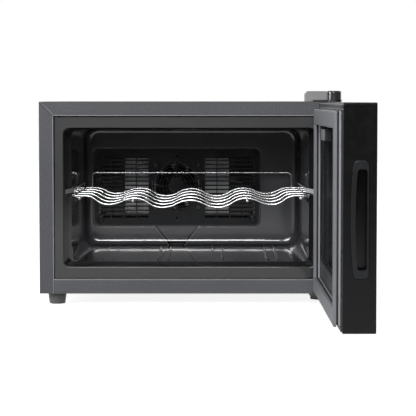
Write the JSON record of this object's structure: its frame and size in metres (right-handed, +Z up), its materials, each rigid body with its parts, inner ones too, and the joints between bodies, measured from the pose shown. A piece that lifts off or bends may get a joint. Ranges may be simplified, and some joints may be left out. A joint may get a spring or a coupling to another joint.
{
  "type": "countertop wine cooler",
  "caption": "Low countertop thermoelectric wine cooler with a side-hinged glass door open at right angles, glossy black cavity, chrome wavy wire bottle shelf and slotted fan cover.",
  "frame": {"origin": "on the floor, midway between the cabinet's sides, in the plane of the cabinet's front flange (the middle of the footprint with the door open)", "axes": "+X to the right seen from the front, +Y to the back, +Z up"},
  "size_m": [0.4597, 0.9346, 0.3199],
  "materials": {
    "casing_steel": "satin",
    "rear_steel": "matte",
    "zinc_screw": "satin",
    "black_screw": "satin",
    "black_plastic": "matte",
    "foot_rubber": "matte",
    "liner_plastic": "gloss",
    "foam": "matte",
    "lamp_lens": "satin",
    "grille_plastic": "satin",
    "fan_plastic": "satin",
    "sink_aluminium": "satin",
    "peltier_ceramic": "matte",
    "chrome_wire": "polished",
    "board_green": "satin",
    "white_plastic": "satin",
    "transformer": "satin",
    "capacitor": "satin",
    "pin_brass": "polished",
    "black_steel": "satin",
    "hinge_steel": "satin",
    "cover_grey": "satin",
    "gloss_black": "gloss",
    "smoked_glass": "gloss",
    "inner_glass": "gloss",
    "gasket_grey": "matte",
    "handle_grey": "satin",
    "foot_plastic": "satin"
  },
  "bodies": {
    "cabinet": {"cabinet_wrap": "casing_steel", "base_pan": "casing_steel", "rear_panel": "rear_steel", "rear_panel_screws": "zinc_screw", "wall_spacers": "black_plastic", "rear_feet": "foot_rubber", "bulkhead": "rear_steel", "inner_liner": "liner_plastic", "foam_insulation": "foam", "lamp_lens": "lamp_lens", "evaporator_cover": "grille_plastic", "cover_caps": "grille_plastic", "inner_fan_frame": "fan_plastic", "inner_fan_screws": "black_screw", "cold_sink": "sink_aluminium", "cold_block": "sink_aluminium", "peltier_module": "peltier_ceramic", "hot_sink": "sink_aluminium", "clamp_screws": "zinc_screw", "outer_fan_frame": "fan_plastic", "outer_fan_screws": "black_screw", "rear_fan_guard": "chrome_wire", "circuit_board": "board_green", "board_standoffs": "white_plastic", "board_transformer": "transformer", "board_capacitors": "capacitor", "board_heatsink": "sink_aluminium", "power_inlet": "black_plastic", "inlet_pins": "pin_brass", "top_hinge_bracket": "black_steel", "top_hinge_pin": "hinge_steel", "top_hinge_screws": "zinc_screw", "top_hinge_cover": "cover_grey", "top_hinge_knuckle": "gloss_black", "bottom_hinge_bracket": "black_steel", "bottom_hinge_pin": "hinge_steel", "bottom_hinge_screws": "zinc_screw", "hinge_washer": "white_plastic", "bottom_hinge_cover": "black_plastic"},
    "door": {"door_frame": "gloss_black", "door_outer_glass": "smoked_glass", "door_inner_frame": "liner_plastic", "door_inner_glass": "inner_glass", "door_gasket": "gasket_grey", "handle_insert": "handle_grey", "door_light_housing": "black_plastic", "door_light_trim": "white_plastic", "display_module": "black_plastic", "display_lens": "lamp_lens", "hinge_bushes": "white_plastic"},
    "rack": {"rack_waves": "chrome_wire", "rack_side_rods": "chrome_wire", "rack_runners": "chrome_wire", "rack_fence": "chrome_wire"},
    "inner_fan": {"inner_fan_rotor": "fan_plastic"},
    "outer_fan": {"outer_fan_rotor": "fan_plastic"},
    "left_foot": {"front_left_foot": "foot_plastic"},
    "right_foot": {"front_right_foot": "foot_plastic"}
  },
  "joints": [
    {"name": "door_swing", "type": "hinge", "parent": "cabinet", "child": "door", "pos_m": [0.212, -0.0303, 0.16], "axis": [0, 0, 1], "range_deg": [-90, 30]},
    {"name": "rack_slide", "type": "slide", "parent": "cabinet", "child": "rack", "axis": [0, -1, 0], "range_m": [0, 0.04]},
    {"name": "inner_fan_spin", "type": "hinge", "parent": "cabinet", "child": "inner_fan", "pos_m": [-0.0254, 0.338, 0.162], "axis": [0, 1, 0], "continuous": true},
    {"name": "outer_fan_spin", "type": "hinge", "parent": "cabinet", "child": "outer_fan", "pos_m": [-0.0254, 0.442, 0.162], "axis": [0, 1, 0], "continuous": true},
    {"name": "left_foot_height", "type": "slide", "parent": "cabinet", "child": "left_foot", "axis": [0, 0, -1], "range_m": [0, 0.006]},
    {"name": "right_foot_height", "type": "slide", "parent": "cabinet", "child": "right_foot", "axis": [0, 0, -1], "range_m": [0, 0.006]}
  ]
}
